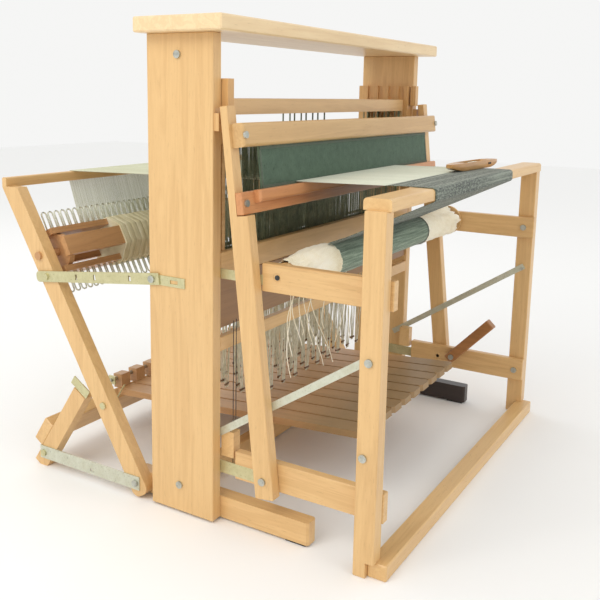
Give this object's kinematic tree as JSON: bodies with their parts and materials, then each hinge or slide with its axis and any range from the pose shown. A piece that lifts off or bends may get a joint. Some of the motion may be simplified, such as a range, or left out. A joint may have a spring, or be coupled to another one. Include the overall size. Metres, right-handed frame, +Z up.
{
  "type": "floor loom",
  "caption": "Upright wooden floor loom with a tall castle, swinging beater, treadles below, a folding back frame and cloth and warp beams.",
  "frame": {"origin": "middle of the footprint, on the floor", "axes": "+X along the beams to the weaver's right, +Y from the weaver to the warp beam, +Z up"},
  "size_m": [1.388, 1.2934, 1.333],
  "materials": {
    "maple": "satin varnish",
    "cherry": "satin varnish",
    "plywood": "satin varnish",
    "treadle_wood": "worn satin",
    "harness_wood": "satin",
    "zinc_steel": "zinc plated",
    "reed_steel": "fine dents",
    "hoop_wire": "gloss",
    "black_plastic": "matte",
    "cloth_green": "plain weave",
    "warp_yarn": "yarn"
  },
  "bodies": {
    "root": {"castle_side_left": "maple", "castle_side_right": "maple", "top_shelf": "maple", "castle_stretcher": "maple", "castle_apron": "plywood", "castle_ledge": "maple", "floor_stretcher": "maple", "foot_rail_left": "maple", "foot_rail_right": "maple", "foot_glides": "black_plastic", "harness_guides": "maple", "front_leg_left": "maple", "front_leg_right": "maple", "front_foot_rail": "maple", "breast_beam": "maple", "upper_side_rails": "maple", "lower_side_rails": "maple", "steel_straps": "zinc_steel", "steel_braces": "zinc_steel", "brace_blocks": "maple", "frame_bolts": "zinc_steel", "cloth_web": "cloth_green"},
    "beater": {"beater_upright_left": "maple", "beater_upright_right": "maple", "hand_tree": "maple", "beater_beam": "cherry", "shuttle_race": "cherry", "reed": "reed_steel", "beater_bolts": "zinc_steel"},
    "back_frame": {"back_leg_left": "maple", "back_leg_right": "maple", "back_struts": "maple", "back_beam": "maple", "back_stretcher": "maple", "floor_links": "zinc_steel", "back_steel": "zinc_steel", "warp_sheet": "warp_yarn"},
    "stays": {"stay_bars": "zinc_steel"},
    "treadle_axle_body": {"treadle_axle": "zinc_steel"},
    "cloth_beam_body": {"cloth_beam": "maple", "cloth_roll": "cloth_green"},
    "warp_beam_body": {"warp_beam": "maple", "beam_hoops": "hoop_wire", "wound_warp": "warp_yarn"},
    "brake": {"brake_treadle": "treadle_wood"},
    "shuttle": {"boat_shuttle": "cherry"},
    "treadle_body_1": {"treadle_1": "treadle_wood"},
    "treadle_body_2": {"treadle_2": "treadle_wood"},
    "treadle_body_3": {"treadle_3": "treadle_wood"},
    "treadle_body_4": {"treadle_4": "treadle_wood"},
    "treadle_body_5": {"treadle_5": "treadle_wood"},
    "treadle_body_6": {"treadle_6": "treadle_wood"},
    "treadle_body_7": {"treadle_7": "treadle_wood"},
    "treadle_body_8": {"treadle_8": "treadle_wood"},
    "treadle_body_9": {"treadle_9": "treadle_wood"},
    "treadle_body_10": {"treadle_10": "treadle_wood"},
    "harness_body_1": {"harness_1": "harness_wood"},
    "harness_body_2": {"harness_2": "harness_wood"},
    "harness_body_3": {"harness_3": "harness_wood"},
    "harness_body_4": {"harness_4": "harness_wood"}
  },
  "joints": [
    {"name": "beater_swing", "type": "hinge", "parent": "root", "child": "beater", "pos_m": [0, -0.2955, 0.166], "axis": [1, 0, 0], "range_deg": [0, 19], "deforming": ["cloth_web"]},
    {"name": "back_fold", "type": "hinge", "parent": "root", "child": "back_frame", "pos_m": [0, 0.1315, 0.046], "axis": [1, 0, 0], "range_deg": [0, 24], "deforming": ["warp_sheet"]},
    {"name": "stay_turn", "type": "hinge", "parent": "root", "child": "stays", "pos_m": [0, 0.0585, 0.654], "axis": [1, 0, 0], "range_deg": [0, 20.6]},
    {"name": "axle_turn", "type": "hinge", "parent": "back_frame", "child": "treadle_axle_body", "pos_m": [0, 0.4795, 0.2], "axis": [1, 0, 0], "range_deg": [-24.1, 0]},
    {"name": "cloth_beam_turn", "type": "hinge", "parent": "root", "child": "cloth_beam_body", "pos_m": [0, -0.3105, 0.698], "axis": [1, 0, 0], "continuous": true},
    {"name": "warp_beam_turn", "type": "hinge", "parent": "back_frame", "child": "warp_beam_body", "pos_m": [0, 0.4955, 0.665], "axis": [1, 0, 0], "continuous": true},
    {"name": "brake_press", "type": "hinge", "parent": "root", "child": "brake", "pos_m": [0, -0.3605, 0.182], "axis": [1, 0, 0], "range_deg": [0, 25]},
    {"name": "treadle_press_1", "type": "hinge", "parent": "treadle_axle_body", "child": "treadle_body_1", "pos_m": [0, 0.4795, 0.2], "axis": [1, 0, 0], "range_deg": [0, 10.5]},
    {"name": "treadle_press_2", "type": "hinge", "parent": "treadle_axle_body", "child": "treadle_body_2", "pos_m": [0, 0.4795, 0.2], "axis": [1, 0, 0], "range_deg": [0, 10.5]},
    {"name": "treadle_press_3", "type": "hinge", "parent": "treadle_axle_body", "child": "treadle_body_3", "pos_m": [0, 0.4795, 0.2], "axis": [1, 0, 0], "range_deg": [0, 10.5]},
    {"name": "treadle_press_4", "type": "hinge", "parent": "treadle_axle_body", "child": "treadle_body_4", "pos_m": [0, 0.4795, 0.2], "axis": [1, 0, 0], "range_deg": [0, 10.5]},
    {"name": "treadle_press_5", "type": "hinge", "parent": "treadle_axle_body", "child": "treadle_body_5", "pos_m": [0, 0.4795, 0.2], "axis": [1, 0, 0], "range_deg": [0, 10.5]},
    {"name": "treadle_press_6", "type": "hinge", "parent": "treadle_axle_body", "child": "treadle_body_6", "pos_m": [0, 0.4795, 0.2], "axis": [1, 0, 0], "range_deg": [0, 10.5]},
    {"name": "treadle_press_7", "type": "hinge", "parent": "treadle_axle_body", "child": "treadle_body_7", "pos_m": [0, 0.4795, 0.2], "axis": [1, 0, 0], "range_deg": [0, 10.5]},
    {"name": "treadle_press_8", "type": "hinge", "parent": "treadle_axle_body", "child": "treadle_body_8", "pos_m": [0, 0.4795, 0.2], "axis": [1, 0, 0], "range_deg": [0, 10.5]},
    {"name": "treadle_press_9", "type": "hinge", "parent": "treadle_axle_body", "child": "treadle_body_9", "pos_m": [0, 0.4795, 0.2], "axis": [1, 0, 0], "range_deg": [0, 10.5]},
    {"name": "treadle_press_10", "type": "hinge", "parent": "treadle_axle_body", "child": "treadle_body_10", "pos_m": [0, 0.4795, 0.2], "axis": [1, 0, 0], "range_deg": [0, 10.5]},
    {"name": "harness_lift_1", "type": "slide", "parent": "root", "child": "harness_body_1", "axis": [0, 0, 1], "range_m": [0, 0.085]},
    {"name": "harness_lift_2", "type": "slide", "parent": "root", "child": "harness_body_2", "axis": [0, 0, 1], "range_m": [0, 0.085]},
    {"name": "harness_lift_3", "type": "slide", "parent": "root", "child": "harness_body_3", "axis": [0, 0, 1], "range_m": [0, 0.085]},
    {"name": "harness_lift_4", "type": "slide", "parent": "root", "child": "harness_body_4", "axis": [0, 0, 1], "range_m": [0, 0.085]},
    {"name": "shuttle_lift", "type": "slide", "parent": "root", "child": "shuttle", "axis": [0, 0, 1], "range_m": [0, 0.015]}
  ],
  "couplings": [
    {"joint": "stay_turn", "follows": "back_fold", "ratio": 0.854},
    {"joint": "axle_turn", "follows": "back_fold", "ratio": -1},
    {"joint": "harness_lift_1", "follows": "treadle_press_1", "m_per_rad": 0.43},
    {"joint": "harness_lift_2", "follows": "treadle_press_2", "m_per_rad": 0.43},
    {"joint": "harness_lift_3", "follows": "treadle_press_3", "m_per_rad": 0.43},
    {"joint": "harness_lift_4", "follows": "treadle_press_4", "m_per_rad": 0.43}
  ]
}
